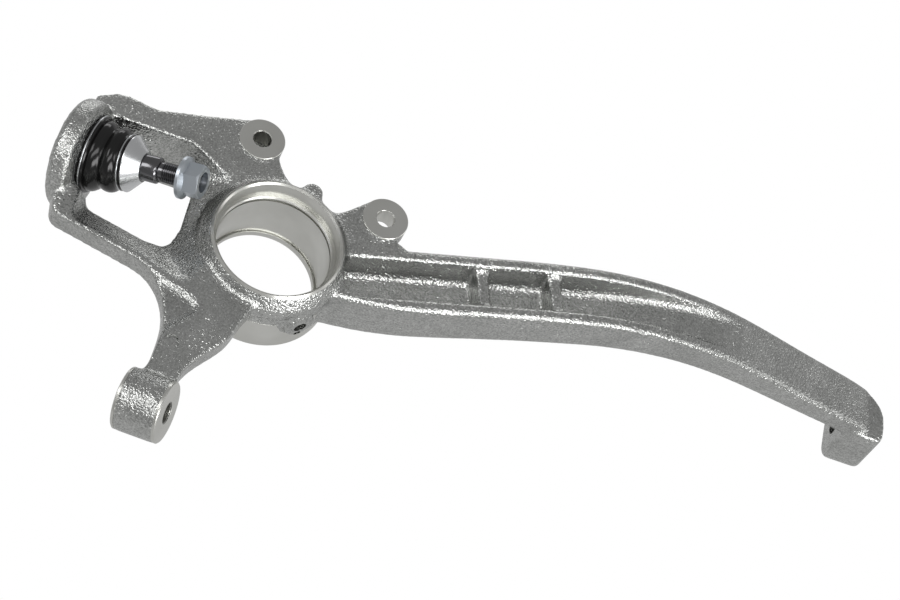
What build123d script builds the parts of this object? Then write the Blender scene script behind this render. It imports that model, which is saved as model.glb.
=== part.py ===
from build123d import *
from math import asin, cos, radians, sin, sqrt, tan
import os

# Front steering knuckle for the right-hand wheel: one casting with a hub barrel, a
# tall channelled arm to the upper ball joint, caliper ears and a steering boss, and
# the lower ball joint pressed into its eye. Millimetres.
# Drawn from the wheel axis, in the plane of the barrel's outboard rim: +X forward,
# +Y inboard along the axis, +Z up. The parts are then moved along Y, so that their own
# origin lies on the wheel axis halfway along the bearing seat.

# ---------------------------------------------------------------- driving sizes
# Hub barrel, on the Y axis
SEAT_D = 80.0            # wheel bearing seat
RIM_BORE_D = 85.7        # counterbore at the outboard mouth
RIM_BORE_DEPTH = 13.7
RING_GROOVE_D = 84.0     # groove for the bearing's snap ring
RING_GROOVE_W = 2.2
RING_GROOVE_GAP = 2.0    # land between the counterbore and the groove
SHOULDER_D = 77.0        # inboard shoulder that the bearing stops against
SHOULDER_Y = 57.0
SEAT_MIDDLE_Y = 36.65    # of the seat's plain stretch: the parts' origin
UNDERCUT = 0.6
BARREL_LENGTH = 62.0
RIM_D = 92.0
RIM_CHAMFER = 1.6
FLARE_D = 104.5
FLARE_FRONT_Y = 11.0
FLARE_BACK_Y = 19.0
BARREL_D = 99.0
BARREL_BACK_ROUND = 3.0

# Web plate between barrel, bracket, ears and steering boss
WEB_FRONT_Y = 8.0
WEB_THICKNESS = 18.0

# Caliper ears
EAR_UPPER = (-47.9, 67.4)    # x, z of the hole
EAR_LOWER = (-77.1, -28.7)
EAR_HOLE_D = 13.0
EAR_R = 16.2
EAR_PAD_D = 32.0
EAR_PAD_Y = 6.2
EAR_THICKNESS = 15.0

# Dust shield lug beside the barrel
SHIELD_LUG = (-49.0, 14.5)
SHIELD_LUG_D = 15.0

# Lower ball joint
JOINT_CENTRE = (-25.1, 13.4, -137.1)
JOINT_FORWARD_TILT = 11.3    # of the housing axis from +Z towards +X, degrees
JOINT_OUTBOARD_TILT = 14.2   # of the housing axis from +Z towards -Y, degrees
STUD_SWING = 7.85            # of the stud from the housing axis, as it lies, degrees
STUD_SWING_SIDE = 94.0       # direction of that swing round the housing axis, degrees
BALL_D = 26.0
BALL_RUNNING_GAP = 0.04
SEAT_WALL = 3.2
SEAT_TOP = 6.5               # over the ball's centre
SEAT_FLOOR = 0.9
HOUSING_D = 48.0
HOUSING_TOP = 9.0            # over the ball's centre
HOUSING_NECK_D = 45.0
HOUSING_NECK_LENGTH = 6.0
HOUSING_MOUTH_STEP = 4.6     # of the mouth's edge in from the seat's outside
HOUSING_MOUTH_FLARE = 5.0
HOUSING_CHAMFER = 2.5
HOUSING_LIP = 0.8            # rolled over the end cap
HOUSING_LIP_OVERLAP = 1.6
CAP_THICKNESS = 1.5
CAP_DISH = 0.5

# Eye of the casting round the ball joint
EYE_D = 77.6
EYE_OFFSET = (3.4, 2.0)      # of its outside from the bore, x and y
EYE_TOP = 3.0                # over the ball's centre
EYE_THICKNESS = 16.5
EYE_SHOULDER_DROP = 2.6      # height of the eye's sloping shoulder
EYE_SHOULDER_IN = 8.0
EYE_EDGE_CHAMFER = 3.0

# Stud, measured along it from the ball's centre
STUD_NECK_D = 17.0
STUD_NECK_WAIST_D = 16.0
TAPER_START = 31.8
TAPER_LENGTH = 10.3
TAPER_LARGE_D = 39.0
TAPER_SMALL_D = 20.8
TAPER_RIM = 1.2
SHANK_D = 18.2
SHANK_LENGTH = 11.3
THREAD_D = 14.0
THREAD_LENGTH = 27.7
THREAD_UNDERCUT_D = 12.6
THREAD_UNDERCUT_W = 1.5
STUD_SOCKET_AF = 6.0         # hexagon socket in the stud's end
STUD_SOCKET_DEPTH = 5.0

# Flange nut
NUT_START = 69.9
NUT_AF = 21.0
NUT_HEIGHT = 14.8
NUT_FLANGE_D = 29.0
NUT_FLANGE_RIM = 2.2
NUT_FLANGE_RISE = 2.4
NUT_THREAD_GAP = 0.02

# Relief in the bracket for the nut as the stud swings, round the housing's axis
NUT_ROOM_R = 27.4
NUT_ROOM_BOTTOM = 60.0
NUT_ROOM_SHOULDER = 82.2
NUT_ROOM_CREST_R = 4.0
NUT_ROOM_TOP = 86.4

# Dust boot, measured from the boot's foot on the housing to the taper ring
BOOT_WALL = 1.6
BOOT_FOOT_D = 54.0
BOOT_FOOT_HEIGHT = 4.0
BOOT_FOOT_LIFT = 0.3         # over the eye
BOOT_FOLDS = ((0.0, 49.0), (0.2, 47.2), (0.36, 41.6), (0.62, 44.0), (0.8, 37.6), (1.0, 38.0))
BOOT_LIP_HEIGHT = 2.2        # of the closed lip on the stud
BOOT_TOP_GAP = 0.3
BOOT_GRIP_GAP = 0.05         # on the housing's neck and the stud's
BOOT_CLEARANCE_D = 59.0
BOOT_CLEARANCE_HEIGHT = 30.0
CLIP_WIRE_D = 1.2
CLIP_GAP = 0.05
CLIP_LARGE_LIFT = 1.6        # over the boot's foot
CLIP_SMALL_DROP = 2.2        # under the taper ring
CLIP_SMALL_D = 38.0

# Arm: a channel from the barrel to the upper ball joint. Its front face is followed.
ARM_ROOT_Z = 40.0
ARM_END_Z = 474.0
ARM_ROOT_X = 8.1
ARM_LEAN_BACK = 16.8         # of the lower arm from +Z towards -X, degrees
ARM_STRAIGHT_Z = 200.0       # where the two long curves begin
ARM_BACK_RADIUS = 1760.0
ARM_INBOARD_RADIUS = 330.0
ARM_INBOARD_LEAN = 27.5      # of the upper arm from +Z towards +Y, degrees
ARM_INBOARD_START_Z = 190.0
ARM_ROOT_WIDTH = 48.6
ARM_END_WIDTH = 39.5
ARM_ROOT_DEPTH = 41.0
ARM_MID_DEPTH = 33.0         # where the inboard curve starts to take hold
ARM_MID_Z = 215.0
ARM_END_DEPTH = 16.0
ARM_EDGE_ROUND = 3.5
ARM_ROOT_PULL = 8.0          # of the forward side at the root, run out at the height below
ARM_ROOT_PULL_Z = 92.0
ARM_END_ROUNDS = (10.0, 6.0) # of the end's rear and forward corners
ARM_SECTIONS = 9

# Pocket of the channel
FLANGE_WIDTH = 8.7
POCKET_START_Z = 50.5
POCKET_END_Z = 345.0
POCKET_START_ROUND = 8.0
POCKET_DEPTH = 19.0
POCKET_DRAFT = 12.0          # degrees
POCKET_FLOOR_ROUND = 6.0
RIB_ZS = (146.5, 197.5)
RIB_WIDTH = 8.0
RIB_HEIGHT_SHARE = 0.72      # of the pocket's depth

# Upper lug, on the arm's end
LUG_BOTTOM_Z = 456.0
LUG_TOP_Z = 486.0
LUG_WIDTH = 42.0
LUG_BACK_Y = 164.0
LUG_BACK_ROUND = 12.0
LUG_CORNER_ROUNDS = (26.0, 5.0)  # of the top's rear and forward corners
LUG_SHIFT = 2.0              # of the lug forward of the arm's middle
LUG_HOLE_D = 16.0
LUG_HOLE_BACK = 24.0         # of the hole's axis from the lug's back
LUG_EDGE_CHAMFER = 2.5

# Steering boss
STEER_CENTRE = (145.2, 14.0, -51.6)
STEER_FORWARD_TILT = 10.0
STEER_OUTBOARD_TILT = 14.4
STEER_D = 42.6
STEER_LENGTH = 30.5
STEER_HOLE_D = 14.4
STEER_EDGE_ROUND = 1.5

# Bracket between the barrel and the eye
WALL_BACK_Y = 50.0           # back of the rear side wall
LOW_WALL_BACK_Y = WEB_FRONT_Y + WEB_THICKNESS

# Wheel speed sensor boss
SENSOR_ANGLE = 37.0          # round the barrel from +X towards +Z, degrees
SENSOR_Y = 28.0
SENSOR_BOSS_D = 22.0
SENSOR_BOSS_R = 54.5         # flat's distance from the wheel axis
SENSOR_HOLE_D = 9.0
SENSOR_SCREW_D = 5.0
SENSOR_SCREW_STEP = 8.3

# Recess and gauge mark on the web
RECESS_DEPTH = 3.0
RECESS_DRAFT = 48.0         # degrees


# ---------------------------------------------------------------- helpers
def tilted(point, forward, outboard):
    """Plane at a point whose normal is +Z tilted towards +X and -Y."""
    normal = Vector(tan(radians(forward)), -tan(radians(outboard)), 1).normalized()
    across = Vector(0, 1, 0).cross(normal).normalized()
    return Plane(origin=point, x_dir=across, z_dir=normal)


def lathe(plane, *points):
    """Solid turned about a plane's normal from (radius, height) points."""
    outline = Plane.XZ * make_face(Polyline(*[(r, h) for r, h in points], close=True))
    return plane * revolve(outline, Axis.Z, 360)


def turned_on_y(*points):
    """Solid turned about the wheel axis from (radius, y) points."""
    outline = make_face(Polyline(*[(r, y) for r, y in points], close=True))
    return revolve(outline, Axis.Y, 360)


def facing_out(y):
    """Plane square to the wheel axis at y, with x forward and y up, facing outboard."""
    return Plane(origin=(0, y, 0), x_dir=(1, 0, 0), z_dir=(0, -1, 0))


def slab(sketch, front_y, back_y):
    """An x, z outline made solid between two planes square to the wheel axis."""
    return extrude(facing_out(back_y) * sketch, amount=back_y - front_y)


def rod(plane, diameter, bottom, top):
    """Cylinder on a plane's normal between two heights."""
    return plane * Pos(0, 0, bottom) * Cylinder(
        diameter / 2, top - bottom, align=(Align.CENTER, Align.CENTER, Align.MIN)
    )


# ---------------------------------------------------------------- frames
housing_plane = tilted(JOINT_CENTRE, JOINT_FORWARD_TILT, JOINT_OUTBOARD_TILT)
swing_side = radians(STUD_SWING_SIDE)
swing = radians(STUD_SWING)
stud_normal = (
    housing_plane.z_dir * cos(swing)
    + housing_plane.x_dir * (sin(swing) * cos(swing_side))
    - housing_plane.y_dir * (sin(swing) * sin(swing_side))
)
swing_axis = housing_plane.z_dir.cross(stud_normal).normalized()
stud_plane = Plane(origin=JOINT_CENTRE, x_dir=swing_axis, z_dir=stud_normal)
steer_plane = tilted(STEER_CENTRE, STEER_FORWARD_TILT, STEER_OUTBOARD_TILT)

ball_r = BALL_D / 2
seat_r = ball_r + SEAT_WALL
seat_bottom = -(ball_r + SEAT_FLOOR)
cap_bottom = seat_bottom - CAP_THICKNESS
housing_bottom = cap_bottom - HOUSING_LIP
eye_bottom = EYE_TOP - EYE_THICKNESS
boot_foot = EYE_TOP + BOOT_FOOT_LIFT
shank_start = TAPER_START + TAPER_LENGTH
thread_start = shank_start + SHANK_LENGTH
stud_end = thread_start + THREAD_LENGTH
CLIP_SMALL_HEIGHT = TAPER_START - CLIP_SMALL_DROP


# ---------------------------------------------------------------- arm
def arm_frame(z):
    """Plane of the arm's section at a height: x across, y inboard, normal along it."""
    curved = max(z - ARM_STRAIGHT_Z, 0)
    lean_back = radians(ARM_LEAN_BACK) - asin(curved / ARM_BACK_RADIUS)
    straight = min(z, ARM_STRAIGHT_Z) - ARM_ROOT_Z
    x = ARM_ROOT_X - straight * tan(radians(ARM_LEAN_BACK))
    x -= curved * tan((radians(ARM_LEAN_BACK) + lean_back) / 2)
    lean_end = radians(ARM_INBOARD_LEAN)
    rise = min(max(z - ARM_INBOARD_START_Z, 0), ARM_INBOARD_RADIUS * sin(lean_end))
    lean_in = asin(rise / ARM_INBOARD_RADIUS)
    past = max(z - ARM_INBOARD_START_Z, 0) - rise
    y = WEB_FRONT_Y + ARM_INBOARD_RADIUS * (1 - cos(lean_in)) + past * tan(lean_end)
    along = Vector(-tan(lean_back), tan(lean_in), 1).normalized()
    across = along.cross(Vector(0, -1, 0)).normalized()
    return Plane(origin=(x, y, z), x_dir=across, z_dir=along)


def arm_width(z):
    share = (z - ARM_ROOT_Z) / (ARM_END_Z - ARM_ROOT_Z)
    return ARM_ROOT_WIDTH + (ARM_END_WIDTH - ARM_ROOT_WIDTH) * share ** 2


def arm_depth(z):
    if z < ARM_MID_Z:
        share = (z - ARM_ROOT_Z) / (ARM_MID_Z - ARM_ROOT_Z)
        return ARM_ROOT_DEPTH + (ARM_MID_DEPTH - ARM_ROOT_DEPTH) * share
    share = (z - ARM_MID_Z) / (ARM_END_Z - ARM_MID_Z)
    return ARM_MID_DEPTH + (ARM_END_DEPTH - ARM_MID_DEPTH) * (1 - (1 - share) ** 1.2)


def arm_heights(low, high, count):
    return [low + (high - low) * i / (count - 1) for i in range(count)]


def arm_root_pull(z):
    """Narrowing of the arm's forward side where it runs into the barrel."""
    share = max(ARM_ROOT_PULL_Z - z, 0) / (ARM_ROOT_PULL_Z - ARM_ROOT_Z)
    return ARM_ROOT_PULL * share ** 1.6


def arm_section(z):
    pull = arm_root_pull(z)
    width, depth = arm_width(z) - pull, arm_depth(z)
    outline = RectangleRounded(width, depth, min(ARM_EDGE_ROUND, depth / 2.5))
    return arm_frame(z) * Pos(forward_sign(z) * pull / 2, depth / 2) * outline


def forward_sign(z):
    """Which way along the section's own x the forward side lies, turned inward."""
    return -1 if arm_frame(z).x_dir.X > 0 else 1


def pocket_depth(z):
    """Full depth along the straight arm, running out to nothing at the pocket's end."""
    fade = (z - ARM_STRAIGHT_Z) / (POCKET_END_Z - ARM_STRAIGHT_Z)
    return POCKET_DEPTH * (1 - max(fade, 0) ** 1.5)


def pocket_section(z):
    """Drafted trough, open past the front face."""
    mouth = arm_width(z) - 2 * FLANGE_WIDTH
    depth = pocket_depth(z)
    slope = tan(radians(POCKET_DRAFT))
    proud = ARM_EDGE_ROUND
    top, floor = mouth / 2 + proud * slope, mouth / 2 - depth * slope
    outline = Polygon((-top, -proud), (top, -proud), (floor, depth), (-floor, depth), align=None)
    round_r = min(POCKET_FLOOR_ROUND, (depth + proud) * 0.6)
    corners = outline.vertices().sort_by(Axis.Y)[-2:]
    return arm_frame(z) * fillet(corners, round_r)


def pocket_foot():
    """What lies past the pocket's rounded lower end, square to the straight arm."""
    frame = arm_frame(POCKET_START_Z)
    lean = radians(ARM_LEAN_BACK)
    square_share = abs(frame.x_dir.dot(Vector(cos(lean), 0, sin(lean))))
    half = (arm_width(POCKET_START_Z) / 2 - FLANGE_WIDTH) * square_share
    r = POCKET_START_ROUND
    reach = 2 * ARM_ROOT_WIDTH
    rounded = Pos(0, r / 2) * Rectangle(2 * (half - r), r)
    for side in (-1, 1):
        rounded += Pos(side * (half - r), r) * Circle(r)
    past = Pos(0, r / 2 - reach / 4) * Rectangle(reach, reach / 2 + r) - rounded
    place = Pos(frame.origin.X, POCKET_START_Z) * Rot(0, 0, ARM_LEAN_BACK)
    return slab(place * past, -ARM_ROOT_DEPTH, 2 * ARM_ROOT_DEPTH)


def arm_pocket():
    heights = arm_heights(POCKET_START_Z - FLANGE_WIDTH, POCKET_END_Z, ARM_SECTIONS)
    trough = loft([pocket_section(z) for z in heights]) - pocket_foot()
    for z in RIB_ZS:
        trough -= pocket_rib(z)
    return trough


def pocket_rib(z):
    """Cross rib with drafted sides and a flat crest, standing on the pocket's floor."""
    height = pocket_depth(z) * RIB_HEIGHT_SHARE
    slope = tan(radians(POCKET_DRAFT))
    foot, crest = RIB_WIDTH / 2 + height * slope, RIB_WIDTH / 2
    frame = arm_frame(z)
    side = Plane(origin=frame.origin, x_dir=frame.z_dir, z_dir=-frame.x_dir)
    floor = pocket_depth(z)
    outline = Polygon(
        (-foot, floor + 1), (foot, floor + 1), (crest, floor - height),
        (-crest, floor - height), align=None,
    )
    return side * extrude(outline, arm_width(z) / 2, both=True)


def arm_blank():
    heights = [ARM_ROOT_Z, (ARM_ROOT_Z + ARM_ROOT_PULL_Z) / 2]
    heights += arm_heights(ARM_ROOT_PULL_Z, ARM_END_Z, ARM_SECTIONS)
    blank = loft([arm_section(z) for z in heights])
    end = arm_frame(ARM_END_Z)
    return blank - end_corners(end.origin.X, ARM_END_WIDTH / 2, ARM_END_Z, ARM_END_ROUNDS)


def lug_x():
    return arm_frame((LUG_BOTTOM_Z + LUG_TOP_Z) / 2).origin.X + LUG_SHIFT


def lug_blank():
    """Square-backed block behind the arm's end."""
    front_y = arm_frame(LUG_BOTTOM_Z).origin.Y + arm_depth(LUG_BOTTOM_Z) / 2
    length = LUG_BACK_Y - front_y
    outline = Pos(lug_x(), LUG_BACK_Y - length / 2) * Rectangle(LUG_WIDTH, length)
    outline = fillet(outline.vertices().sort_by(Axis.Y)[-2:], LUG_BACK_ROUND)
    block = Pos(0, 0, LUG_BOTTOM_Z) * extrude(outline, LUG_TOP_Z - LUG_BOTTOM_Z)
    ends = block.faces().sort_by(Axis.Z)
    edges = ends[0].edges().sort_by(Axis.Y)[1:] + ends[-1].edges().sort_by(Axis.Y)[1:]
    block = chamfer(edges, LUG_EDGE_CHAMFER)
    return block - end_corners(lug_x(), LUG_WIDTH / 2, LUG_TOP_Z, LUG_CORNER_ROUNDS)


def lug_hole_plane():
    return Plane(
        origin=(lug_x(), LUG_BACK_Y - LUG_HOLE_BACK, LUG_BOTTOM_Z),
        x_dir=(1, 0, 0), z_dir=(0, 0, 1),
    )


def end_corners(middle_x, half_width, top_z, rounds):
    """What is rounded away from the two upper corners of an end, seen from the front."""
    cuts = []
    for side, radius in zip((-1, 1), rounds):
        corner_x = middle_x + side * half_width
        square = Pos(corner_x, top_z) * Rectangle(2 * radius, 2 * radius)
        disc = Pos(corner_x - side * radius, top_z - radius) * Circle(radius)
        cuts.append(slab(square - disc, 0, LUG_BACK_Y + 10))
    return cuts


# ---------------------------------------------------------------- casting blanks
def barrel_blank():
    rim_r, flare_r, barrel_r = RIM_D / 2, FLARE_D / 2, BARREL_D / 2
    return turned_on_y(
        (0, 0), (rim_r - RIM_CHAMFER, 0), (rim_r, RIM_CHAMFER), (flare_r, FLARE_FRONT_Y),
        (flare_r, FLARE_BACK_Y), (barrel_r, FLARE_BACK_Y + flare_r - barrel_r),
        (barrel_r, BARREL_LENGTH - BARREL_BACK_ROUND),
        (barrel_r - BARREL_BACK_ROUND, BARREL_LENGTH), (0, BARREL_LENGTH),
    )


def web_outline():
    """Outline of the web and bracket in the x, z plane, clockwise from the barrel."""
    steer_x, steer_z = STEER_CENTRE[0], STEER_CENTRE[2]
    neck = STEER_D / 2
    ear_x, ear_z = EAR_LOWER
    underside = Spline(
        (42, 12), (61, -5.9), (80, -12), (99, -25), (steer_x - neck, steer_z + 14.5),
    )
    into_boss = Polyline(
        underside @ 1, (steer_x, steer_z + 12), (steer_x, steer_z - 11),
        (steer_x - neck - 3, steer_z - 7.5),
    )
    throat = Spline(
        into_boss @ 1, (100, -56.6), (83, -56.8), (64, -63), (52, -73), (45, -88),
        tangents=[(-1, 0.3), (-0.25, -1)],
    )
    low_end = Line(throat @ 1, (34, -139))
    low_corner = ThreePointArc(low_end @ 1, (31.5, -146), (25, -149.5))
    eye_side = Polyline(
        low_corner @ 1, (-20, -156), (-58, -156), (-67.3, -145.6), (-75.6, -131), (-76.6, -123),
        (-73.5, -103), (-81, -74), (ear_x - EAR_R + 1.5, ear_z - 8),
    )
    ear_edge = ThreePointArc(
        eye_side @ 1, (ear_x - EAR_R * 0.8, ear_z + EAR_R * 0.6),
        (ear_x + EAR_R * 0.35, ear_z + EAR_R * 0.937),
    )
    ear_root = Spline(
        ear_edge @ 1, (-64, -11.5), (-50, 1), tangents=[ear_edge % 1, (0.7, 1)],
    )
    home = Polyline(ear_root @ 1, (0, 30), underside @ 0)
    edges = [underside, into_boss, throat, low_end, low_corner, eye_side, ear_edge, ear_root]
    return make_face(edges + [home])


def web_blank():
    return slab(web_outline(), WEB_FRONT_Y, LOW_WALL_BACK_Y)


def window():
    """Through-opening of the bracket, with sloping walls towards the front."""
    front = Polygon(
        (35, -136), (43, -84), (57, -47), (30, -36), (-38, -36), (-60, -76), (-63, -136),
        align=None,
    )
    back = Polygon(
        (10.5, -128), (20, -84), (19.5, -68.5), (4, -64), (-38, -63), (-57, -78), (-60, -128),
        align=None,
    )
    front = fillet(front.vertices(), 7)
    back = fillet(back.vertices(), 7)
    mouth = loft([facing_out(WEB_FRONT_Y - 2) * front, facing_out(LOW_WALL_BACK_Y - 2) * back])
    through = slab(back, LOW_WALL_BACK_Y - 2.01, WALL_BACK_Y + 20)
    return mouth + through


def rear_wall():
    """Deep side wall of the bracket, behind the lower ear's web."""
    front = Polygon(
        (-57, -152), (-64, -152), (-73.5, -122), (-71, -103), (-79, -72), (-66, -22),
        (-36, -22), (-57, -74), align=None,
    )
    back = Polygon(
        (-42, -152), (-50, -152), (-59, -122), (-57, -103), (-61, -72), (-52, -22),
        (-26, -22), (-43, -74), align=None,
    )
    front = fillet(front.vertices(), 2)
    back = fillet(back.vertices(), 2)
    return loft([facing_out(WEB_FRONT_Y) * front, facing_out(WALL_BACK_Y) * back])


def eye_blank():
    """Ring round the ball joint, thicker forward and inboard than its bore."""
    eye_r = EYE_D / 2
    offset = Plane(
        origin=housing_plane.origin + Vector(*EYE_OFFSET, 0),
        x_dir=housing_plane.x_dir, z_dir=housing_plane.z_dir,
    )
    edge = EYE_EDGE_CHAMFER
    return lathe(
        offset, (0, eye_bottom), (eye_r - edge, eye_bottom), (eye_r, eye_bottom + edge),
        (eye_r, EYE_TOP - EYE_SHOULDER_DROP), (eye_r - EYE_SHOULDER_IN, EYE_TOP),
        (0, EYE_TOP),
    )


def ear_blank(ear):
    return Pos(ear[0], 0, ear[1]) * turned_on_y(
        (0, EAR_PAD_Y), (EAR_PAD_D / 2, EAR_PAD_Y), (EAR_PAD_D / 2, WEB_FRONT_Y),
        (EAR_R, WEB_FRONT_Y), (EAR_R, EAR_PAD_Y + EAR_THICKNESS),
        (0, EAR_PAD_Y + EAR_THICKNESS),
    )


def upper_ear_web():
    x, z = EAR_UPPER
    left = Spline((-38, 22), (-43, 37), (x - 16.0, z - 5.5), tangents=[(-0.1, 1), (-0.5, 1)])
    right = Spline(
        (x + 12.5, z + 11.5), (-33, 84), (-22, 92), tangents=[(0.8, -0.5), (0.5, 1)],
    )
    top = Line(left @ 1, right @ 0)
    home = Polyline(right @ 1, (0, 60), (0, 22), left @ 0)
    outline = make_face([left, top, right, home])
    return slab(outline, WEB_FRONT_Y, EAR_PAD_Y + EAR_THICKNESS)


def steering_boss_blank():
    boss_r, half = STEER_D / 2, STEER_LENGTH / 2
    edge = STEER_EDGE_ROUND
    return lathe(
        steer_plane, (0, -half), (boss_r - edge, -half), (boss_r, -half + edge),
        (boss_r, half - edge), (boss_r - edge, half), (0, half),
    )


def sensor_plane():
    angle = radians(SENSOR_ANGLE)
    outward = Vector(cos(angle), 0, sin(angle))
    return Plane(
        origin=outward * SENSOR_BOSS_R + Vector(0, SENSOR_Y, 0),
        x_dir=(0, 1, 0), z_dir=outward,
    )


def sensor_boss_blank():
    depth = SENSOR_BOSS_R - SEAT_D / 2 - 2
    return rod(sensor_plane(), SENSOR_BOSS_D, -depth, 0)


def shield_lug_blank():
    x, z = SHIELD_LUG
    r = SHIELD_LUG_D / 2
    return Pos(x, 0, z) * turned_on_y(
        (0, WEB_FRONT_Y - 3), (r - 1, WEB_FRONT_Y - 3), (r, WEB_FRONT_Y - 2),
        (r, LOW_WALL_BACK_Y), (0, LOW_WALL_BACK_Y),
    )


# ---------------------------------------------------------------- machining
def bearing_bore():
    groove_y = RIM_BORE_DEPTH + RING_GROOVE_GAP
    seat_r, rim_r, groove_r = SEAT_D / 2, RIM_BORE_D / 2, RING_GROOVE_D / 2
    return turned_on_y(
        (0, -1), (rim_r + 2.4, -1), (rim_r, 1.4), (rim_r, RIM_BORE_DEPTH),
        (seat_r + 0.8, RIM_BORE_DEPTH), (seat_r, RIM_BORE_DEPTH + 0.8),
        (seat_r, groove_y), (groove_r, groove_y), (groove_r, groove_y + RING_GROOVE_W),
        (seat_r, groove_y + RING_GROOVE_W), (seat_r, SHOULDER_Y - 1.6),
        (seat_r + UNDERCUT, SHOULDER_Y - 1.6), (seat_r + UNDERCUT, SHOULDER_Y),
        (SHOULDER_D / 2, SHOULDER_Y), (SHOULDER_D / 2, BARREL_LENGTH + 1),
        (0, BARREL_LENGTH + 1),
    )


def housing_bore():
    return rod(housing_plane, HOUSING_D, eye_bottom - 2, EYE_TOP + 6)


def through_hole_y(at, diameter, front_y, back_y):
    return Pos(at[0], 0, at[1]) * turned_on_y(
        (0, front_y), (diameter / 2, front_y), (diameter / 2, back_y), (0, back_y)
    )


def web_recess():
    """Shallow triangular recess beside the throat."""
    outline = Polygon((54, -79), (65, -44.5), (70, -43), (76, -46.5), (95, -62), align=None)
    outline = fillet(outline.vertices(), 4)
    floor = facing_out(WEB_FRONT_Y + RECESS_DEPTH) * outline
    return extrude(floor, RECESS_DEPTH, taper=-RECESS_DRAFT)


def below_eye():
    """Everything past the eye's end face, which is planed off the bracket."""
    reach = 4 * EYE_D
    block = Box(reach, reach, reach / 3, align=(Align.CENTER, Align.CENTER, Align.MAX))
    return housing_plane * Pos(0, 0, eye_bottom) * block


def boot_room():
    """Round pocket that leaves the dust boot free of the bracket's walls."""
    return rod(housing_plane, BOOT_CLEARANCE_D, EYE_TOP, EYE_TOP + BOOT_CLEARANCE_HEIGHT)


def nut_room():
    """Relief that keeps the bracket clear of the nut over the stud's swing."""
    return lathe(
        housing_plane, (0, NUT_ROOM_BOTTOM), (NUT_ROOM_R, NUT_ROOM_BOTTOM),
        (NUT_ROOM_R, NUT_ROOM_SHOULDER), (NUT_ROOM_CREST_R, NUT_ROOM_TOP), (0, NUT_ROOM_TOP),
    )


def knuckle_casting():
    body = web_blank() - window()
    body += rear_wall() - below_eye()
    body = body - below_eye() - boot_room() - nut_room()
    body += eye_blank() + steering_boss_blank()
    body += arm_blank() + lug_blank() + upper_ear_web()
    body += ear_blank(EAR_UPPER) + ear_blank(EAR_LOWER) + shield_lug_blank()
    body += barrel_blank() + sensor_boss_blank()
    body -= arm_pocket()
    body -= web_recess()
    body -= bearing_bore() + housing_bore()
    for ear in (EAR_UPPER, EAR_LOWER):
        body -= through_hole_y(ear, EAR_HOLE_D, EAR_PAD_Y - 1, EAR_PAD_Y + EAR_THICKNESS + 1)
    body -= rod(steer_plane, STEER_HOLE_D, -STEER_LENGTH, STEER_LENGTH)
    body -= rod(lug_hole_plane(), LUG_HOLE_D, -1, LUG_TOP_Z - LUG_BOTTOM_Z + 1)
    body -= rod(sensor_plane(), SENSOR_HOLE_D, -(SENSOR_BOSS_R - SEAT_D / 2) - 4, 1)
    body -= sensor_plane() * Pos(SENSOR_SCREW_STEP, 0, 0) * Cylinder(
        SENSOR_SCREW_D / 2, 10, align=(Align.CENTER, Align.CENTER, Align.MAX)
    )
    return body


# ---------------------------------------------------------------- ball joint
def ball_joint_housing():
    r = HOUSING_D / 2
    neck_r = HOUSING_NECK_D / 2
    mouth_r = seat_r - HOUSING_MOUTH_STEP
    lip_r = seat_r - HOUSING_LIP_OVERLAP
    return lathe(
        housing_plane,
        (lip_r, housing_bottom), (r - 2 * HOUSING_CHAMFER, housing_bottom),
        (r, housing_bottom + HOUSING_CHAMFER),
        (r, HOUSING_TOP - HOUSING_NECK_LENGTH), (neck_r, HOUSING_TOP - HOUSING_NECK_LENGTH),
        (neck_r, HOUSING_TOP), (mouth_r + HOUSING_MOUTH_FLARE, HOUSING_TOP), (mouth_r, SEAT_TOP + 0.1),
        (seat_r + BALL_RUNNING_GAP, SEAT_TOP + 0.1), (seat_r + BALL_RUNNING_GAP, cap_bottom),
        (lip_r, cap_bottom),
    )


def housing_cap():
    """Dished steel disc that closes the housing under the ball seat."""
    r = seat_r + BALL_RUNNING_GAP
    top = seat_bottom - BALL_RUNNING_GAP
    return lathe(
        housing_plane, (0, cap_bottom + CAP_DISH), (r * 0.5, cap_bottom + CAP_DISH),
        (r * 0.6, cap_bottom), (r, cap_bottom), (r, top), (0, top),
    )


def ball_seat():
    """Plastic cup round the ball."""
    cup = lathe(housing_plane, (0, seat_bottom), (seat_r, seat_bottom), (seat_r, SEAT_TOP), (0, SEAT_TOP))
    return cup - housing_plane * Sphere(ball_r + BALL_RUNNING_GAP)


def ball_stud():
    neck_r, waist_r = STUD_NECK_D / 2, STUD_NECK_WAIST_D / 2
    start = sqrt(ball_r ** 2 - waist_r ** 2)
    thread_r = THREAD_D / 2
    stem = lathe(
        stud_plane, (0, 0), (waist_r, 0), (waist_r, start + 3), (neck_r, TAPER_START - 8),
        (neck_r, shank_start), (SHANK_D / 2, shank_start),
        (SHANK_D / 2, thread_start - 1.2), (thread_r + 0.6, thread_start),
        (THREAD_UNDERCUT_D / 2, thread_start), (THREAD_UNDERCUT_D / 2, thread_start + THREAD_UNDERCUT_W),
        (thread_r, thread_start + THREAD_UNDERCUT_W + 0.7), (thread_r, stud_end - 1.2),
        (thread_r - 1.2, stud_end), (0, stud_end),
    )
    socket = extrude(RegularPolygon(STUD_SOCKET_AF / sqrt(3), 6), -STUD_SOCKET_DEPTH)
    return stem + stud_plane * Sphere(ball_r) - stud_plane * Pos(0, 0, stud_end) * socket


def taper_ring():
    """Loose-pressed cone that centres the control arm on the stud."""
    inner, large, small = STUD_NECK_D / 2, TAPER_LARGE_D / 2, TAPER_SMALL_D / 2
    end = shank_start
    return lathe(
        stud_plane, (inner, TAPER_START), (large - 0.6, TAPER_START),
        (large, TAPER_START + 0.6), (large, TAPER_START + TAPER_RIM), (small, end),
        (inner, end),
    )


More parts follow.
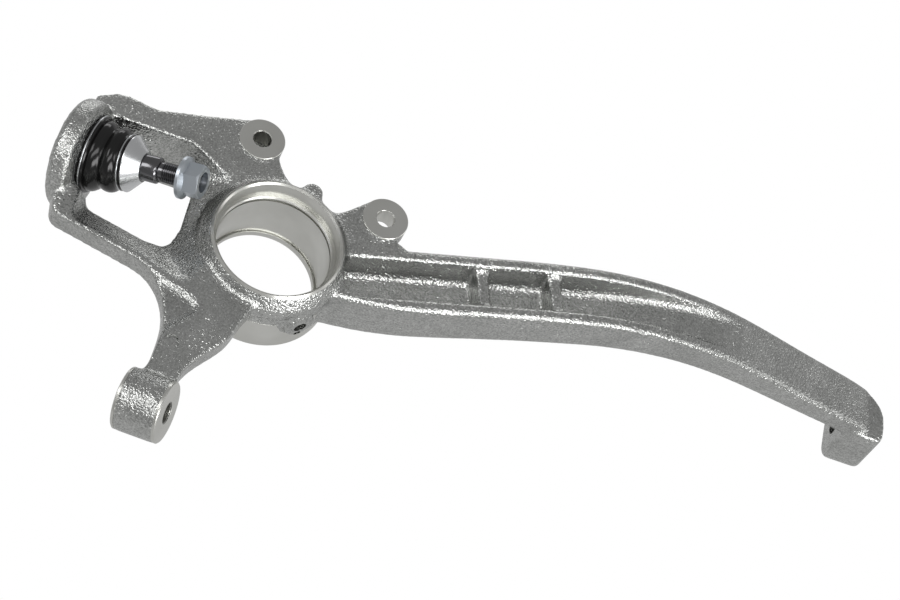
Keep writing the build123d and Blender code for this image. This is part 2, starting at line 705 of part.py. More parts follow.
def flange_nut():
    top = NUT_START + NUT_HEIGHT
    flange_top = NUT_START + NUT_FLANGE_RIM
    hex_r = NUT_AF / sqrt(3)
    flange = lathe(
        stud_plane, (0, NUT_START), (NUT_FLANGE_D / 2, NUT_START), (NUT_FLANGE_D / 2, flange_top),
        (NUT_AF / 2 + 0.2, flange_top + NUT_FLANGE_RISE), (0, flange_top + NUT_FLANGE_RISE),
    )
    prism = Pos(0, 0, NUT_START) * extrude(RegularPolygon(hex_r, 6), NUT_HEIGHT)
    chamfered = lathe(
        stud_plane, (0, NUT_START), (hex_r + 1, NUT_START), (hex_r + 1, top - 2.0),
        (NUT_AF / 2 - 0.3, top), (0, top),
    )
    body = flange + (stud_plane * prism & chamfered)
    return body - rod(stud_plane, THREAD_D + 2 * NUT_THREAD_GAP, NUT_START - 1, top + 1)


# ---------------------------------------------------------------- dust boot
def boot_ring_frame(share, housing_height, stud_height):
    """Plane of the boot's section a share of the way from housing to stud."""
    foot = housing_plane.origin + housing_plane.z_dir * housing_height
    top = stud_plane.origin + stud_plane.z_dir * stud_height
    blend = 3 * share ** 2 - 2 * share ** 3
    centre = foot + (top - foot) * share
    drift = (housing_plane.z_dir - stud_plane.z_dir) * (share * (1 - share) * stud_height * 0.25)
    normal = housing_plane.z_dir * (1 - blend) + stud_plane.z_dir * blend
    return Plane(origin=centre + drift, x_dir=swing_axis, z_dir=normal)


def boot_skin(offset, top_drop):
    """Bellows outline of the boot, smaller by the offset and shorter by the drop."""
    low = boot_foot + BOOT_FOOT_HEIGHT
    high = TAPER_START - BOOT_TOP_GAP - top_drop
    rings = [
        boot_ring_frame(share, low, high) * Circle(diameter / 2 - offset)
        for share, diameter in BOOT_FOLDS
    ]
    return loft(rings)


def dust_boot():
    foot_r = BOOT_FOOT_D / 2
    low = boot_foot + BOOT_FOOT_HEIGHT
    first_r = BOOT_FOLDS[0][1] / 2
    foot = lathe(
        housing_plane, (0, boot_foot), (foot_r, boot_foot), (foot_r, low - 1),
        (first_r, low), (0, low),
    )
    skin = boot_skin(0, 0) - boot_skin(BOOT_WALL, BOOT_LIP_HEIGHT)
    neck_hole = rod(housing_plane, HOUSING_NECK_D + 2 * BOOT_GRIP_GAP, boot_foot - 1, low + 1)
    grip_d = STUD_NECK_D + 2 * BOOT_GRIP_GAP
    stud_hole = rod(stud_plane, grip_d, TAPER_START - 3 * BOOT_LIP_HEIGHT, TAPER_START + 1)
    boot = (foot - neck_hole) + (skin - stud_hole)
    for plane, height, diameter in (
        (housing_plane, boot_foot + CLIP_LARGE_LIFT, BOOT_FOOT_D),
        (stud_plane, CLIP_SMALL_HEIGHT, CLIP_SMALL_D),
    ):
        boot -= boot_clip(plane, height, diameter, CLIP_GAP)
    return boot


def boot_clip(plane, height, diameter, clearance=0):
    """Round wire ring half sunk in the boot, or with a clearance its groove."""
    wire_r = CLIP_WIRE_D / 2
    section = Plane.XZ * Pos(diameter / 2, height) * Circle(wire_r + clearance)
    return plane * revolve(section, Axis.Z, 360)


def boot_ring_large():
    return boot_clip(housing_plane, boot_foot + CLIP_LARGE_LIFT, BOOT_FOOT_D)


def boot_ring_small():
    return boot_clip(stud_plane, CLIP_SMALL_HEIGHT, CLIP_SMALL_D)


# ---------------------------------------------------------------- parts
PARTS = {
    "knuckle_casting": knuckle_casting,
    "ball_joint_housing": ball_joint_housing,
    "housing_cap": housing_cap,
    "ball_seat": ball_seat,
    "ball_stud": ball_stud,
    "taper_ring": taper_ring,
    "flange_nut": flange_nut,
    "dust_boot": dust_boot,
    "boot_ring_large": boot_ring_large,
    "boot_ring_small": boot_ring_small,
}

os.makedirs("parts", exist_ok=True)
for name, make in PARTS.items():
    export_step(Pos(0, -SEAT_MIDDLE_Y, 0) * make(), f"parts/{name}.step")
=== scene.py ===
import bmesh
import bpy
from math import cos, pi, radians, sin
from mathutils import Matrix, Vector


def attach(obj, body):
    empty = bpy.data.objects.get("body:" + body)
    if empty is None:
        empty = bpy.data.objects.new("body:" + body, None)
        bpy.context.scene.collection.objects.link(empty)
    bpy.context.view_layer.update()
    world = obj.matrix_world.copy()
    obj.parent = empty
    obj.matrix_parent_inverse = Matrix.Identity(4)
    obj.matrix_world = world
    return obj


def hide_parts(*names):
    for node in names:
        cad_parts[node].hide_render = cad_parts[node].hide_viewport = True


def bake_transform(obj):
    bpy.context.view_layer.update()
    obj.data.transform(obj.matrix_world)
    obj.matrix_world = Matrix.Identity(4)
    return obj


# Looks of the steering knuckle: metres, +X forward, +Y inboard along the wheel axis, +Z up.
# The origin is on the wheel axis, halfway along the bearing seat.

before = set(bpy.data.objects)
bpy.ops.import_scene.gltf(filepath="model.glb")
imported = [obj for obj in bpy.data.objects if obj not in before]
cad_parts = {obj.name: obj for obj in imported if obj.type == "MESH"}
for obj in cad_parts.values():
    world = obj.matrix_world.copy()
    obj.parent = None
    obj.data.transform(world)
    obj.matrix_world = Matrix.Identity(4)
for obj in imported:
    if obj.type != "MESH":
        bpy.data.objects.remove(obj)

MM = 0.001
RIM_Y = -36.65 * MM                      # plane of the barrel's outboard rim

# Ball joint
BALL_CENTRE = Vector((-0.0251, 0.0134, -0.1371)) + Vector((0, RIM_Y, 0))
HOUSING_AXIS = Vector((0.1902, -0.2408, 0.9518)).normalized()
STUD_AXIS = Vector((0.1726246, -0.3708108, 0.912524)).normalized()
SWING_AXIS = HOUSING_AXIS.cross(STUD_AXIS).normalized()

# Bores and pads, x and z on planes square to the wheel axis
EARS = ((-47.9 * MM, 67.4 * MM), (-77.1 * MM, -28.7 * MM))
EAR_FACE_Y = RIM_Y + 6.2 * MM
EAR_BACK_Y = RIM_Y + 21.2 * MM
EAR_HOLE_R = 6.5 * MM
STEER_CENTRE = Vector((145.2 * MM, 14.0 * MM + RIM_Y, -51.6 * MM))
STEER_AXIS = Vector((0.1683498, -0.2451404, 0.9547589)).normalized()
STEER_HALF = 15.25 * MM
STEER_HOLE_R = 7.2 * MM
SENSOR_ANGLE = radians(37)
SENSOR_Y = RIM_Y + 28.0 * MM
SENSOR_FLAT_R = 54.5 * MM
SENSOR_HOLE_R = 4.5 * MM
SENSOR_SCREW_R = 2.5 * MM
SENSOR_SCREW_STEP = 8.3 * MM
SENSOR_HOLE_DEPTH = 13 * MM
SENSOR_SCREW_DEPTH = 9.9 * MM
LUG_HOLE_R = 8.0 * MM
LUG_HOLE_Y = RIM_Y + 140.0 * MM
LUG_HOLE_X = -97.648 * MM
LUG_UNDERSIDE_Z = 456 * MM
LUG_LENGTH = 30.0 * MM

# Casting skin
CAST_VOXEL = 1.5 * MM
CAST_SMOOTHING = 12
PLUG_MARGIN = 1.5 * MM
SKIN_SETBACK = 0.15 * MM                 # of the skin behind a machined bore's wall
DRILL_OVERRUN = 4 * MM                   # of a drill past each end of its hole
BARREL_CLEAR_R = 44.6 * MM               # bore of the skin round the machined barrel
BARREL_CLEAR_FROM = -5 * MM
BARREL_CLEAR_TO = 70 * MM

# Round gauge mark in the web's outboard face
WEB_FACE_Y = RIM_Y + 8 * MM
GAUGE_X = 97.5 * MM
GAUGE_Z = -48 * MM
GAUGE_R = 5.4 * MM
GAUGE_DEPTH = 0.9 * MM
GAUGE_OVERRUN = 2 * MM

# Recess in the same face, as (x, z) in millimetres, open at the throat
RECESS_FLOOR_Y = RIM_Y + 11 * MM
RECESS_FLOOR = (
    (53.5, -80), (55.5, -66), (59.5, -54.6), (62.5, -45), (65, -41.8), (69.3, -41.2), (76, -45.8),
    (97, -63),
)
RECESS_RIM_Y = WEB_FACE_Y - 1 * MM
RECESS_RIM = (
    (48, -84), (51.4, -66.4), (55.6, -53), (58.6, -43), (62.8, -37.6), (70.2, -36.8), (78.6, -42),
    (101.5, -60),
)
RECESS_BED_BACK_Y = RIM_Y + 14.3 * MM
RECESS_BED = (
    (46.5, -82), (52.5, -72.3), (64.3, -62.6), (83, -56.4), (98, -56.2), (100, -54), (84, -42),
    (72, -36), (61, -38), (46, -78),
)


# ---------------------------------------------------------------- shape helpers
def place_on(origin, axis, across=None):
    """Matrix whose z runs along an axis from an origin."""
    axis = Vector(axis).normalized()
    across = Vector(across) if across else Vector((1, 0, 0))
    across = (across - axis * across.dot(axis)).normalized()
    side = axis.cross(across)
    turn = Matrix((across, side, axis)).transposed().to_4x4()
    return Matrix.Translation(origin) @ turn


WHEEL_PLACE = place_on((0, RIM_Y, 0), (0, 1, 0))
HOUSING_PLACE = place_on(BALL_CENTRE, HOUSING_AXIS, SWING_AXIS)
STUD_PLACE = place_on(BALL_CENTRE, STUD_AXIS, SWING_AXIS)
STEER_PLACE = place_on(STEER_CENTRE, STEER_AXIS)
SENSOR_OUT = Vector((cos(SENSOR_ANGLE), 0, sin(SENSOR_ANGLE)))
SENSOR_PLACE = place_on(SENSOR_OUT * SENSOR_FLAT_R + Vector((0, SENSOR_Y, 0)), SENSOR_OUT, (0, 1, 0))
GAUGE_PLACE = place_on((GAUGE_X, WEB_FACE_Y, GAUGE_Z), (0, -1, 0))
LUG_PLACE = place_on((LUG_HOLE_X, LUG_HOLE_Y, LUG_UNDERSIDE_Z), (0, 0, 1))


def turn_profile(bm, points, steps, closed):
    """Spins (radius, height) points about z; a closed profile makes a ring."""
    verts = [bm.verts.new((r, 0, h)) for r, h in points]
    edges = [bm.edges.new(pair) for pair in zip(verts, verts[1:])]
    if closed:
        edges.append(bm.edges.new((verts[-1], verts[0])))
    bmesh.ops.spin(
        bm, geom=verts + edges, cent=(0, 0, 0), axis=(0, 0, 1), dvec=(0, 0, 0),
        angle=2 * pi, steps=steps, use_merge=True,
    )
    bmesh.ops.remove_doubles(bm, verts=bm.verts, dist=1e-7)


def finished(bm, name, place=None, smooth_angle=radians(32)):
    """Makes an object of a bmesh, with its place in its mesh."""
    if place:
        bmesh.ops.transform(bm, matrix=place, verts=bm.verts)
    bmesh.ops.recalc_face_normals(bm, faces=bm.faces)
    mesh = bpy.data.meshes.new(name)
    bm.to_mesh(mesh)
    bm.free()
    mesh.shade_smooth()
    mesh.set_sharp_from_angle(angle=smooth_angle)
    obj = bpy.data.objects.new(name, mesh)
    bpy.context.scene.collection.objects.link(obj)
    return obj


def turned(name, place, points, steps=96, closed=False):
    """Turned solid from (radius, height) points in millimetres."""
    bm = bmesh.new()
    turn_profile(bm, [(r * MM, h * MM) for r, h in points], steps, closed)
    return finished(bm, name, place)


def bar(bm, place, radius, bottom, top, sides=64):
    """Adds a plain cylinder between two heights."""
    middle = Matrix.Translation((0, 0, (bottom + top) / 2))
    bmesh.ops.create_cone(
        bm, cap_ends=True, segments=sides, radius1=radius, radius2=radius,
        depth=top - bottom, matrix=place @ middle,
    )


def smooth_through(points, per_span):
    """Catmull-Rom points through the given pairs."""
    ends = [points[0]] + list(points) + [points[-1]]
    result = []
    for a, b, c, d in zip(ends, ends[1:], ends[2:], ends[3:]):
        for i in range(per_span):
            t = i / per_span
            result.append(tuple(
                0.5 * (2 * q + (r - p) * t + (2 * p - 5 * q + 4 * r - s) * t * t
                       + (3 * q - p - 3 * r + s) * t ** 3)
                for p, q, r, s in zip(a, b, c, d)
            ))
    return result + [points[-1]]


# ---------------------------------------------------------------- materials
def node_group(name, inputs, outputs):
    group = bpy.data.node_groups.new(name, "ShaderNodeTree")
    for label, value in inputs:
        socket = group.interface.new_socket(label, in_out="INPUT", socket_type="NodeSocketFloat")
        socket.default_value = value
    group.interface.new_socket("Vector", in_out="INPUT", socket_type="NodeSocketVector")
    for label in outputs:
        group.interface.new_socket(label, in_out="OUTPUT", socket_type="NodeSocketFloat")
    return group, group.nodes.new("NodeGroupInput"), group.nodes.new("NodeGroupOutput")


def noise(tree, vector, scale, detail, roughness):
    node = tree.nodes.new("ShaderNodeTexNoise")
    node.inputs["Detail"].default_value = detail
    node.inputs["Roughness"].default_value = roughness
    tree.links.new(vector, node.inputs["Vector"])
    if isinstance(scale, float):
        node.inputs["Scale"].default_value = scale
    else:
        tree.links.new(scale, node.inputs["Scale"])
    return node.outputs["Fac"]


def math_node(tree, operation, a, b):
    node = tree.nodes.new("ShaderNodeMath")
    node.operation = operation
    for socket, value in zip(node.inputs, (a, b)):
        if isinstance(value, (int, float)):
            socket.default_value = value
        else:
            tree.links.new(value, socket)
    return node.outputs[0]


def spread(tree, value, low, high, to_low=0.0, to_high=1.0):
    node = tree.nodes.new("ShaderNodeMapRange")
    tree.links.new(value, node.inputs["Value"])
    node.inputs["From Min"].default_value = low
    node.inputs["From Max"].default_value = high
    node.inputs["To Min"].default_value = to_low
    node.inputs["To Max"].default_value = to_high
    return node.outputs["Result"]


def cast_grain_group():
    """Sand-cast surface: fine grain, coarser lumps and scattered pits; the pits' tone is darkened as painted
    shade.
    """
    group, start, end = node_group("cast grain", [("Scale", 700.0)], ["Height", "Tone", "Pits"])
    vector = start.outputs["Vector"]
    fine = noise(group, vector, start.outputs["Scale"], 1.0, 0.5)
    lumps = noise(group, vector, 210.0, 2.0, 0.5)
    broad = noise(group, vector, 28.0, 3.0, 0.6)
    cells = group.nodes.new("ShaderNodeTexVoronoi")
    cells.inputs["Scale"].default_value = 330.0
    group.links.new(vector, cells.inputs["Vector"])
    pits = spread(group, cells.outputs["Distance"], 0.0, 0.28, 1.0, 0.0)
    patches = spread(group, broad, 0.5, 0.66)
    pits = math_node(group, "MULTIPLY", pits, patches)
    height = math_node(group, "ADD", fine, math_node(group, "MULTIPLY", lumps, 0.5))
    height = math_node(group, "SUBTRACT", height, math_node(group, "MULTIPLY", pits, 1.2))
    broad_share = math_node(group, "MULTIPLY", broad, 0.3)
    lump_share = math_node(group, "MULTIPLY", lumps, 0.2)
    coarse = math_node(group, "ADD", broad_share, lump_share)
    tone = math_node(group, "ADD", math_node(group, "MULTIPLY", fine, 0.5), coarse)
    # painted shade: the tone is darkened in the pits, where shade would fall inside them
    tone = math_node(group, "SUBTRACT", tone, math_node(group, "MULTIPLY", pits, 0.25))
    group.links.new(height, end.inputs["Height"])
    group.links.new(tone, end.inputs["Tone"])
    group.links.new(pits, end.inputs["Pits"])
    return group


def tool_marks_group():
    """Very fine unevenness of a machined or turned surface."""
    group, start, end = node_group("tool marks", [("Scale", 1500.0)], ["Height", "Tone"])
    vector = start.outputs["Vector"]
    fine = noise(group, vector, start.outputs["Scale"], 2.0, 0.5)
    broad = noise(group, vector, 35.0, 2.0, 0.5)
    group.links.new(fine, end.inputs["Height"])
    group.links.new(broad, end.inputs["Tone"])
    return group


CAST_GRAIN = cast_grain_group()
TOOL_MARKS = tool_marks_group()


def shaded(name, group, scale, dark, light, metallic, rough, bump, bump_height):
    """Metal or plastic whose tone, gloss and relief come from a surface group."""
    material = bpy.data.materials.new(name)
    material.use_nodes = True
    tree = material.node_tree
    shader = tree.nodes["Principled BSDF"]
    shader.inputs["Metallic"].default_value = metallic
    coords = tree.nodes.new("ShaderNodeTexCoord")
    surface = tree.nodes.new("ShaderNodeGroup")
    surface.node_tree = group
    surface.inputs["Scale"].default_value = scale
    tree.links.new(coords.outputs["Object"], surface.inputs["Vector"])
    mix = tree.nodes.new("ShaderNodeMix")
    mix.data_type = "RGBA"
    mix.inputs["A"].default_value = (*dark, 1)
    mix.inputs["B"].default_value = (*light, 1)
    tree.links.new(spread(tree, surface.outputs["Tone"], 0.3, 0.7), mix.inputs["Factor"])
    tree.links.new(mix.outputs["Result"], shader.inputs["Base Color"])
    gloss = spread(tree, surface.outputs["Tone"], 0.3, 0.7, rough[0], rough[1])
    tree.links.new(gloss, shader.inputs["Roughness"])
    relief = tree.nodes.new("ShaderNodeBump")
    relief.inputs["Strength"].default_value = bump
    relief.inputs["Distance"].default_value = bump_height
    tree.links.new(surface.outputs["Height"], relief.inputs["Height"])
    tree.links.new(relief.outputs["Normal"], shader.inputs["Normal"])
    return material


CAST = shaded("cast aluminium", CAST_GRAIN, 700.0, (0.27, 0.275, 0.265), (0.60, 0.605, 0.59), 1.0,
              (0.27, 0.21), 1.0, 0.65 * MM)
MACHINED = shaded("machined aluminium", TOOL_MARKS, 1500.0, (0.56, 0.56, 0.53), (0.64, 0.64, 0.61), 1.0,
                  (0.34, 0.28), 0.10, 0.05 * MM)
STEEL = shaded("turned steel", TOOL_MARKS, 1800.0, (0.40, 0.41, 0.42), (0.50, 0.51, 0.52), 1.0,
               (0.26, 0.22), 0.08, 0.04 * MM)
STUD_STEEL = shaded("dark polished steel", TOOL_MARKS, 1800.0, (0.11, 0.11, 0.115), (0.16, 0.16, 0.165), 1.0,
                    (0.20, 0.16), 0.04, 0.03 * MM)
TAPER_METAL = shaded("satin aluminium", TOOL_MARKS, 1800.0, (0.62, 0.63, 0.64), (0.70, 0.71, 0.72), 1.0,
                     (0.27, 0.23), 0.06, 0.04 * MM)
ZINC = shaded("zinc plate", TOOL_MARKS, 900.0, (0.44, 0.48, 0.52), (0.56, 0.59, 0.62), 1.0,
              (0.40, 0.32), 0.12, 0.06 * MM)
RUBBER = shaded("black rubber", TOOL_MARKS, 700.0, (0.004, 0.004, 0.004), (0.008, 0.008, 0.008), 0.0,
                (0.17, 0.13), 0.04, 0.05 * MM)
RUBBER.node_tree.nodes["Principled BSDF"].inputs["Specular IOR Level"].default_value = 0.3
SEAT_PLASTIC = shaded("seat plastic", TOOL_MARKS, 700.0, (0.74, 0.72, 0.66), (0.80, 0.78, 0.72), 0.0,
                      (0.42, 0.38), 0.05, 0.05 * MM)


def dress(obj, *materials):
    obj.data.materials.clear()
    for material in materials:
        obj.data.materials.append(material)


# ---------------------------------------------------------------- casting
def hole_bars(bm, extra, past):
    """Bars on every drilled hole of the casting, wider by extra and longer by past."""
    for x, z in EARS:
        place = place_on((x, 0, z), (0, 1, 0))
        bar(bm, place, EAR_HOLE_R + SKIN_SETBACK + extra, EAR_FACE_Y - past, EAR_BACK_Y + past)
    bar(bm, STEER_PLACE, STEER_HOLE_R + SKIN_SETBACK + extra, -STEER_HALF - past, STEER_HALF + past)
    bar(bm, LUG_PLACE, LUG_HOLE_R + extra, -past, LUG_LENGTH + past)
    bar(bm, SENSOR_PLACE, SENSOR_HOLE_R + extra, -SENSOR_HOLE_DEPTH, past)
    screw = SENSOR_PLACE @ Matrix.Translation((SENSOR_SCREW_STEP, 0, 0))
    bar(bm, screw, SENSOR_SCREW_R + extra, -SENSOR_SCREW_DEPTH, past)


def outline_at(bm, points, y):
    """Corner vertices of an outline on a plane square to the wheel axis."""
    return [bm.verts.new((x * MM, y, z * MM)) for x, z in points]


def recess_cutter():
    """Drafted block that opens the web's recess."""
    bm = bmesh.new()
    corners = outline_at(bm, RECESS_FLOOR, RECESS_FLOOR_Y)
    corners += outline_at(bm, RECESS_RIM, RECESS_RIM_Y)
    bmesh.ops.convex_hull(bm, input=corners)
    return finished(bm, "recess_cutter")


def recess_bed(bm):
    """Adds the metal under the recess's floor."""
    bed = bm.faces.new(outline_at(bm, RECESS_BED, RECESS_FLOOR_Y))
    grown = bmesh.ops.extrude_face_region(bm, geom=[bed])["geom"]
    corners = [item for item in grown if isinstance(item, bmesh.types.BMVert)]
    bmesh.ops.translate(bm, vec=(0, RECESS_BED_BACK_Y - RECESS_FLOOR_Y, 0), verts=corners)


def apply_modifiers(obj):
    """Bakes an object's modifiers into its mesh."""
    graph = bpy.context.evaluated_depsgraph_get()
    mesh = bpy.data.meshes.new_from_object(obj.evaluated_get(graph))
    obj.modifiers.clear()
    obj.data = mesh


def subtract(obj, cutter):
    """Takes one closed mesh out of another and removes it."""
    cut = obj.modifiers.new("cut", "BOOLEAN")
    cut.operation = "DIFFERENCE"
    cut.solver = "EXACT"
    cut.object = cutter
    apply_modifiers(obj)
    bpy.data.objects.remove(cutter)


def cast_skin():
    """The casting with its recess and run-out fillets, its holes drilled crisp after the smoothing."""
    bm = bmesh.new()
    bm.from_mesh(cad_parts["knuckle_casting"].data)
    bmesh.ops.remove_doubles(bm, verts=bm.verts, dist=1e-6)
    skin = finished(bm, "casting")
    subtract(skin, recess_cutter())
    bm = bmesh.new()
    bm.from_mesh(skin.data)
    hole_bars(bm, PLUG_MARGIN, 0)
    recess_bed(bm)
    bmesh.ops.recalc_face_normals(bm, faces=bm.faces)
    bm.to_mesh(skin.data)
    bm.free()
    remesh = skin.modifiers.new("skin", "REMESH")
    remesh.mode = "VOXEL"
    remesh.voxel_size = CAST_VOXEL
    apply_modifiers(skin)
    smooth = skin.modifiers.new("fillets", "SMOOTH")
    smooth.factor = 0.5
    smooth.iterations = CAST_SMOOTHING
    apply_modifiers(skin)
    bm = bmesh.new()
    hole_bars(bm, 0, DRILL_OVERRUN)
    bar(bm, WHEEL_PLACE, BARREL_CLEAR_R, BARREL_CLEAR_FROM, BARREL_CLEAR_TO, 128)
    bar(bm, GAUGE_PLACE, GAUGE_R, -GAUGE_DEPTH, GAUGE_DEPTH + GAUGE_OVERRUN, 48)
    subtract(skin, finished(bm, "drills"))
    return skin


def hub_ring():
    """Machined barrel: rim, counterbore, snap ring groove, seat, shoulder and rear spigot."""
    return turned("hub_ring", WHEEL_PLACE, (
        (45.9, 1.55), (44.6, 0.05), (44.1, 0.05), (42.85, 1.4), (42.85, 13.7), (40.8, 13.7),
        (40, 14.5), (40, 15.7), (42, 15.7), (42, 17.9), (40, 17.9), (40, 55.4), (40.6, 55.4),
        (40.6, 57), (38.5, 57), (38.5, 61.6), (38.9, 62), (46.6, 62), (49.55, 59.1),
        (49.55, 31), (45.2, 31), (45.2, 4.5), (45.9, 4.0),
    ), 192, True)


def ear_pad(at):
    return turned("ear_pad", place_on((at[0], EAR_FACE_Y, at[1]), (0, 1, 0)), (
        (6.9, -0.1), (15.75, -0.1), (16.05, 0.2), (16.05, 2.2), (7.6, 2.6), (7.6, 14.6),
        (6.5, 14.6), (6.5, 0.3),
    ), 96, True)


def steering_faces():
    return turned("steering_faces", STEER_PLACE, (
        (7.9, 15.35), (20.3, 15.35), (21.0, 14.7), (21.0, 13.2), (8.6, 12), (8.6, -12), (21.0, -13.2),
        (21.0, -14.7), (20.3, -15.35), (7.9, -15.35), (7.2, -14.6), (7.2, 14.6),
    ), 96, True)


def casting():
    skin = cast_skin()
    dress(skin, CAST, MACHINED)
    machined = [hub_ring(), ear_pad(EARS[0]), ear_pad(EARS[1]), steering_faces()]
    bm = bmesh.new()
    bm.from_mesh(skin.data)
    for part in machined:
        before = len(bm.faces)
        bm.from_mesh(part.data)
        bm.faces.ensure_lookup_table()
        for face in bm.faces[before:]:
            face.material_index = 1
        bpy.data.objects.remove(part)
    bm.to_mesh(skin.data)
    bm.free()
    skin.data.set_sharp_from_angle(angle=radians(35))
    return skin


# ---------------------------------------------------------------- dust boot
BOOT_LOW = 7.3 * MM                      # on the housing's axis, over the ball's centre
BOOT_HIGH = 31.5 * MM                    # on the stud's axis
BOOT_OUTLINE = (
    (0.0, 49.0), (0.06, 49.6), (0.17, 48.4), (0.27, 45.0), (0.335, 42.0), (0.37, 41.6), (0.42, 42.6),
    (0.52, 44.2), (0.62, 44.4), (0.71, 42.8), (0.79, 39.0), (0.83, 37.8), (0.88, 38.2), (0.95, 38.6),
    (1.0, 38.0),
)
BOOT_WALL = 1.5 * MM
BOOT_LIP_R = 8.6 * MM
BOOT_LIP_SHARE = 0.93                    # where the lip's underside lies along the boot
BOOT_DRIFT = 0.25                        # how far the bend leans out, as a share of its height


def boot_bend(share, x, y):
    """Point of the boot's section a share of the way from the housing to the stud."""
    foot = BALL_CENTRE + HOUSING_AXIS * BOOT_LOW
    top = BALL_CENTRE + STUD_AXIS * BOOT_HIGH
    blend = 3 * share ** 2 - 2 * share ** 3
    drift = (HOUSING_AXIS - STUD_AXIS) * (share * (1 - share) * BOOT_HIGH * BOOT_DRIFT)
    normal = (HOUSING_AXIS * (1 - blend) + STUD_AXIS * blend).normalized()
    side = normal.cross(SWING_AXIS)
    return foot + (top - foot) * share + drift + SWING_AXIS * x + side * y


def dust_boot():
    outer = [(d / 2 * MM, share) for share, d in smooth_through(BOOT_OUTLINE, 4)]
    inner = [(r - BOOT_WALL, min(share, BOOT_LIP_SHARE)) for r, share in reversed(outer)]
    lip = [(BOOT_LIP_R, 1.0), (BOOT_LIP_R, BOOT_LIP_SHARE)]
    bm = bmesh.new()
    turn_profile(bm, outer + lip + inner, 96, True)
    for vert in bm.verts:
        vert.co = boot_bend(vert.co.z, vert.co.x, vert.co.y)
    return finished(bm, "bellows", None, radians(50))


def boot_foot():
    """Clamped foot of the boot on the housing's neck, with the wire's groove."""
    return turned("boot_foot_skin", HOUSING_PLACE, (
        (22.6, 3.3), (26.6, 3.3), (27.0, 3.7), (27.0, 4.2), (26.45, 4.35), (26.3, 4.9), (26.45, 5.45),
        (27.0, 5.6), (27.0, 6.2), (26.2, 7.0), (24.4, 7.4), (22.6, 7.4),
    ), 96, True)


# ---------------------------------------------------------------- stud
THREAD_PITCH = 1.5 * MM
THREAD_R = 7.0 * MM
THREAD_ROOT_R = 6.15 * MM
THREAD_START = 55.6 * MM
THREAD_END = 80.6 * MM
THREAD_FOOT = 0.1 * MM                   # depth of the ridge inside the core
THREAD_STEPS = 48                        # for each turn


def stud_body():
    """Ball, neck, shank and threaded end, with the thread's core."""
    ball = [(13 * cos(radians(a)), 13 * sin(radians(a))) for a in range(-90, 51, 5)]
    return turned("threaded_stud", STUD_PLACE, (
        [(0, -13)] + ball[1:] + [
            (8.0, 13.5), (8.5, 24), (8.5, 42.05), (8.9, 42.1), (9.1, 42.3), (9.1, 51.9), (8.9, 52.3),
            (7.5, 53.4), (6.3, 53.5), (6.3, 54.9), (6.2, 55.4), (6.2, 80.9), (5.6, 81.1), (0, 81.1),
        ]
    ), 96)


def thread_ridge(bm):
    """One V-shaped ridge wound round the thread's core."""
    half = THREAD_PITCH * 0.47
    crest = THREAD_PITCH * 0.07
    section = (
        (THREAD_ROOT_R, -half), (THREAD_R, -crest), (THREAD_R, crest), (THREAD_ROOT_R, half),
        (THREAD_ROOT_R - THREAD_FOOT, 0),
    )
    verts = [bm.verts.new((r, 0, THREAD_START + h)) for r, h in section]
    edges = [bm.edges.new(pair) for pair in zip(verts, verts[1:] + verts[:1])]
    turns = (THREAD_END - THREAD_START) / THREAD_PITCH
    steps = int(turns * THREAD_STEPS)
    bmesh.ops.spin(
        bm, geom=verts + edges, cent=(0, 0, 0), axis=(0, 0, 1),
        dvec=(0, 0, (THREAD_END - THREAD_START) / steps), angle=2 * pi * turns, steps=steps,
    )
    bmesh.ops.holes_fill(bm, edges=[e for e in bm.edges if e.is_boundary], sides=8)


def stud():
    body = stud_body()
    bm = bmesh.new()
    thread_ridge(bm)
    bmesh.ops.transform(bm, matrix=STUD_PLACE, verts=bm.verts)
    bmesh.ops.recalc_face_normals(bm, faces=bm.faces)
    bm.from_mesh(body.data)
    bm.to_mesh(body.data)
    bm.free()
    body.data.shade_smooth()
    body.data.set_sharp_from_angle(angle=radians(30))
    return body


# ---------------------------------------------------------------- build
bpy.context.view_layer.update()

knuckle_skin = casting()
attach(knuckle_skin, "knuckle")
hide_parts("knuckle_casting")

bellows = dust_boot()
dress(bellows, RUBBER)
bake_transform(bellows)
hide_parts("dust_boot")

foot = boot_foot()
dress(foot, RUBBER)
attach(foot, "turning_seat")

stud_piece = stud()
dress(stud_piece, STUD_STEEL)
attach(stud_piece, "stud")
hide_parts("ball_stud")

for node, material in (
    ("ball_joint_housing", STEEL), ("housing_cap", STEEL), ("ball_seat", SEAT_PLASTIC),
    ("taper_ring", TAPER_METAL), ("flange_nut", ZINC), ("boot_ring_large", STEEL),
    ("boot_ring_small", STEEL),
):
    dress(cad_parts[node], material)

# ---------------------------------------------------------------- camera
CAMERA_AHEAD = Vector((-0.547594, 0.823890, 0.146103))
CAMERA_UP = Vector((-0.814015, -0.484115, -0.320954))
CAMERA_AT = Vector((0.992114, -1.526106, -0.141429))
FOCAL = 107.28

camera_right = CAMERA_AHEAD.cross(CAMERA_UP).normalized()
camera_up = camera_right.cross(CAMERA_AHEAD).normalized()
camera_data = bpy.data.cameras.new("camera")
camera_data.sensor_width = 36
camera_data.lens = FOCAL
camera_data.clip_end = 20
camera = bpy.data.objects.new("camera", camera_data)
camera.matrix_world = Matrix.Translation(CAMERA_AT) @ Matrix(
    (camera_right, camera_up, -CAMERA_AHEAD.normalized())
).transposed().to_4x4()
bpy.context.scene.collection.objects.link(camera)
bpy.context.scene.camera = camera

# ---------------------------------------------------------------- stage and light
BACKDROP_Y = 0.145
BACKDROP_Z = 0.15
BACKDROP_HALF = 4
FLOOR_IN_METAL = 0.62                    # its brightness where the metal mirrors it
ROOM_LIGHT = 0.38                        # the world's strength, but for the camera
SUBJECT = Vector((0.0, 0.0, 0.16))


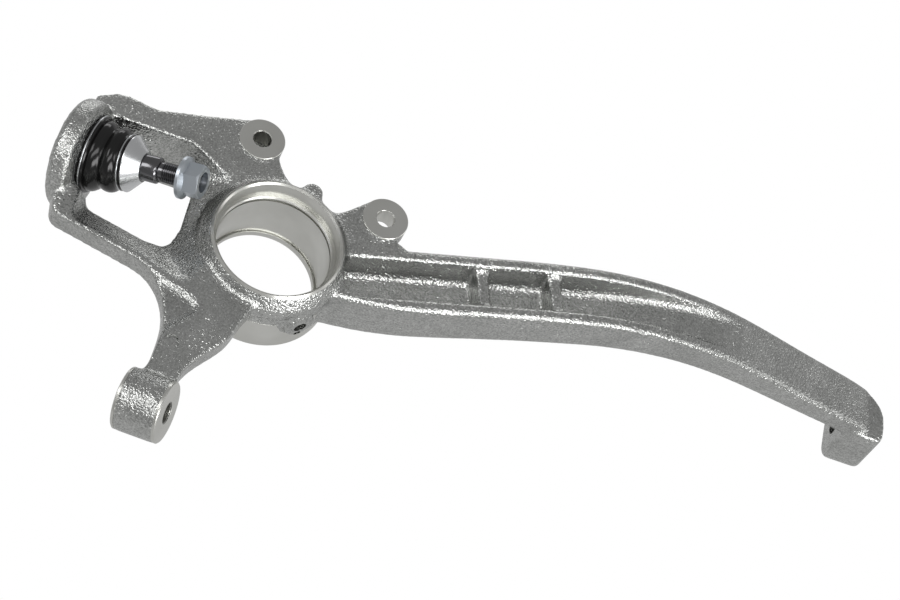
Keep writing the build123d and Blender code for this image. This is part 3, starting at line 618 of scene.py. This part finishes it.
def white_floor():
    """Floor under the part as it lies on its inboard side, clear when seen from below."""
    bm = bmesh.new()
    bmesh.ops.create_grid(bm, x_segments=1, y_segments=1, size=BACKDROP_HALF)
    place = place_on((0, BACKDROP_Y, BACKDROP_Z), (0, -1, 0))
    floor = finished(bm, "floor", place)
    material = bpy.data.materials.new("white floor")
    material.use_nodes = True
    tree = material.node_tree
    plain = tree.nodes["Principled BSDF"]
    plain.inputs["Base Color"].default_value = (0.8, 0.8, 0.8, 1)
    plain.inputs["Roughness"].default_value = 0.9
    bright = tree.nodes.new("ShaderNodeEmission")
    mix = tree.nodes.new("ShaderNodeMixShader")
    path = tree.nodes.new("ShaderNodeLightPath")
    tint = spread(tree, path.outputs["Is Camera Ray"], 0.0, 1.0, FLOOR_IN_METAL, 1.0)
    tree.links.new(tint, bright.inputs["Strength"])
    seen = math_node(tree, "MAXIMUM", path.outputs["Is Camera Ray"], path.outputs["Is Glossy Ray"])
    tree.links.new(seen, mix.inputs[0])
    tree.links.new(plain.outputs[0], mix.inputs[1])
    tree.links.new(bright.outputs[0], mix.inputs[2])
    sides = tree.nodes.new("ShaderNodeMixShader")
    geometry = tree.nodes.new("ShaderNodeNewGeometry")
    clear = tree.nodes.new("ShaderNodeBsdfTransparent")
    tree.links.new(geometry.outputs["Backfacing"], sides.inputs[0])
    tree.links.new(mix.outputs[0], sides.inputs[1])
    tree.links.new(clear.outputs[0], sides.inputs[2])
    tree.links.new(sides.outputs[0], tree.nodes["Material Output"].inputs["Surface"])
    dress(floor, material)
    return floor


def soft_lamp(name, right, up, back, width, height, strength):
    """Area lamp placed by the camera's own directions and aimed at the part."""
    data = bpy.data.lights.new(name, "AREA")
    data.shape = "RECTANGLE"
    data.size = width
    data.size_y = height
    data.energy = strength
    lamp = bpy.data.objects.new(name, data)
    at = SUBJECT + camera_right * right + camera_up * up - CAMERA_AHEAD.normalized() * back
    lamp.matrix_world = place_on(at, at - SUBJECT, camera_right)
    bpy.context.scene.collection.objects.link(lamp)


world = bpy.data.worlds.new("studio")
bpy.context.scene.world = world
world.use_nodes = True
background = world.node_tree.nodes["Background"]
background.inputs["Color"].default_value = (1, 1, 1, 1)
world_path = world.node_tree.nodes.new("ShaderNodeLightPath")
room = spread(world.node_tree, world_path.outputs["Is Camera Ray"], 0.0, 1.0, ROOM_LIGHT, 1.0)
world.node_tree.links.new(room, background.inputs["Strength"])

white_floor()
soft_lamp("front lamp", 0.35, -0.05, 1.4, 1.75, 0.4, 11)
soft_lamp("lower lamp", 0.85, -0.85, 0.95, 1.0, 0.45, 12)
soft_lamp("left lamp", -0.75, 0.6, 1.05, 0.5, 0.5, 3.5)
soft_lamp("upper lamp", 0.2, 1.35, -0.6, 1.2, 0.3, 3)
soft_lamp("right lamp", 1.48, -0.12, -0.1, 0.4, 0.6, 1.5)

bpy.context.scene.view_settings.view_transform = "Standard"
